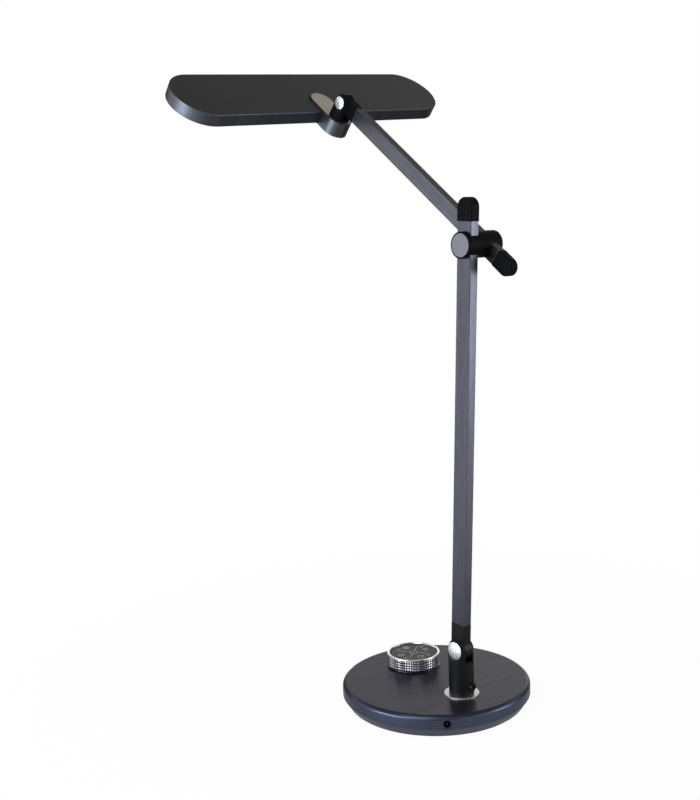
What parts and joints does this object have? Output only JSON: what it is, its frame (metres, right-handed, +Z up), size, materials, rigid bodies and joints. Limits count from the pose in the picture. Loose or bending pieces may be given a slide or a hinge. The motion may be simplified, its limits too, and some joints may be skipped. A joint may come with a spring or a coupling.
{
  "type": "desk lamp",
  "caption": "Desk lamp with a round weighted base, a dimmer knob, a swivelling post, flat crossing friction arms and a long slim light head with a milky diffuser.",
  "frame": {"origin": "middle of the base's underside, on the desk", "axes": "+Z up; the user sits on the -Y side, with the knob in front of the post; +X to the user's right"},
  "size_m": [0.3987, 0.3926, 0.7452],
  "materials": {
    "anodised_grey": "fine radial brushing under a dark grey anodised coat",
    "arm_metal": "brushed lengthwise, warm grey anodised",
    "head_metal": "fine satin, dark grey anodised",
    "knob_metal": "diamond knurled with polished rims",
    "black_plastic": "fine moulded satin",
    "chrome": "polished",
    "satin_disc": "turned satin",
    "taupe_plate": "satin metallic coat",
    "touch_face": "dark smoked gloss with pale icons",
    "steel": "plain machined",
    "cast_weight": "rough casting",
    "soft_pad": "fine grained",
    "circuit": "solder mask",
    "bush_brass": "machined",
    "white_plastic": "smooth",
    "milky_sheet": "milky, fine satin"
  },
  "bodies": {
    "base": {"base_cover": "anodised_grey", "base_weight": "cast_weight", "bottom_plate": "steel", "base_screws": "steel", "foot_pad": "soft_pad", "dc_jack": "black_plastic", "dc_jack_pin": "bush_brass", "control_board": "circuit", "board_standoffs": "white_plastic", "board_parts": "circuit", "knob_hub": "black_plastic", "hub_nut": "black_plastic", "touch_board": "circuit", "touch_panel": "touch_face", "swivel_collar": "chrome", "swivel_bush": "bush_brass"},
    "knob": {"knob_ring": "knob_metal", "encoder_magnet": "steel"},
    "column": {"post": "black_plastic", "post_spindle": "steel", "spindle_washer": "steel", "spindle_nut": "steel", "post_clamp_screw": "steel", "lower_pivot_pin": "steel", "lower_pivot_caps": "chrome", "lower_friction_washers": "white_plastic"},
    "lower_arm": {"lower_knuckle": "black_plastic", "lower_tube": "arm_metal", "lower_end_cap": "black_plastic", "lower_tube_insert": "black_plastic", "front_housing": "black_plastic", "joint_disc": "satin_disc", "joint_bolt": "steel", "joint_nut": "steel", "joint_spring": "steel"},
    "upper_arm": {"rear_housing": "black_plastic", "rear_disc": "satin_disc", "joint_washer": "white_plastic", "upper_tube": "arm_metal", "upper_tube_insert": "black_plastic", "upper_end_cap": "black_plastic", "upper_knuckle": "black_plastic"},
    "head_mount": {"head_post": "black_plastic", "head_pivot_pin": "steel", "head_pivot_caps": "chrome", "head_friction_washers": "white_plastic", "head_post_washer": "steel", "head_post_nut": "steel"},
    "head": {"head_pod": "head_metal", "pod_plate": "taupe_plate", "pod_plug": "black_plastic", "pod_screws": "steel", "head_housing": "head_metal", "led_board": "arm_metal", "leds": "white_plastic", "board_screws": "steel", "reflector_frame": "white_plastic", "diffuser": "milky_sheet"}
  },
  "joints": [
    {"name": "knob_turn", "type": "hinge", "parent": "base", "child": "knob", "pos_m": [0, -0.05, 0.036], "axis": [0, 0, 1], "continuous": true},
    {"name": "base_swivel", "type": "hinge", "parent": "base", "child": "column", "pos_m": [0, 0.0545, 0.0283], "axis": [0, 0, 1], "range_deg": [-101.6, 78.4]},
    {"name": "lower_hinge", "type": "hinge", "parent": "column", "child": "lower_arm", "pos_m": [0, 0.0545, 0.08], "axis": [0.9796, 0.2011, 0], "range_deg": [-17, 43]},
    {"name": "elbow", "type": "hinge", "parent": "lower_arm", "child": "upper_arm", "pos_m": [-0.00443, 0.07606, 0.53006], "axis": [0.9796, 0.2011, 0], "range_deg": [-26, 94]},
    {"name": "head_tilt", "type": "hinge", "parent": "upper_arm", "child": "head_mount", "pos_m": [0.01455, -0.14567, 0.6942], "axis": [0.9796, 0.2011, 0], "range_deg": [-115, 22]},
    {"name": "head_swivel", "type": "hinge", "parent": "head_mount", "child": "head", "pos_m": [0.01699, -0.15756, 0.67958], "axis": [-0.1284, 0.6257, 0.7694], "range_deg": [-50, 40]}
  ]
}
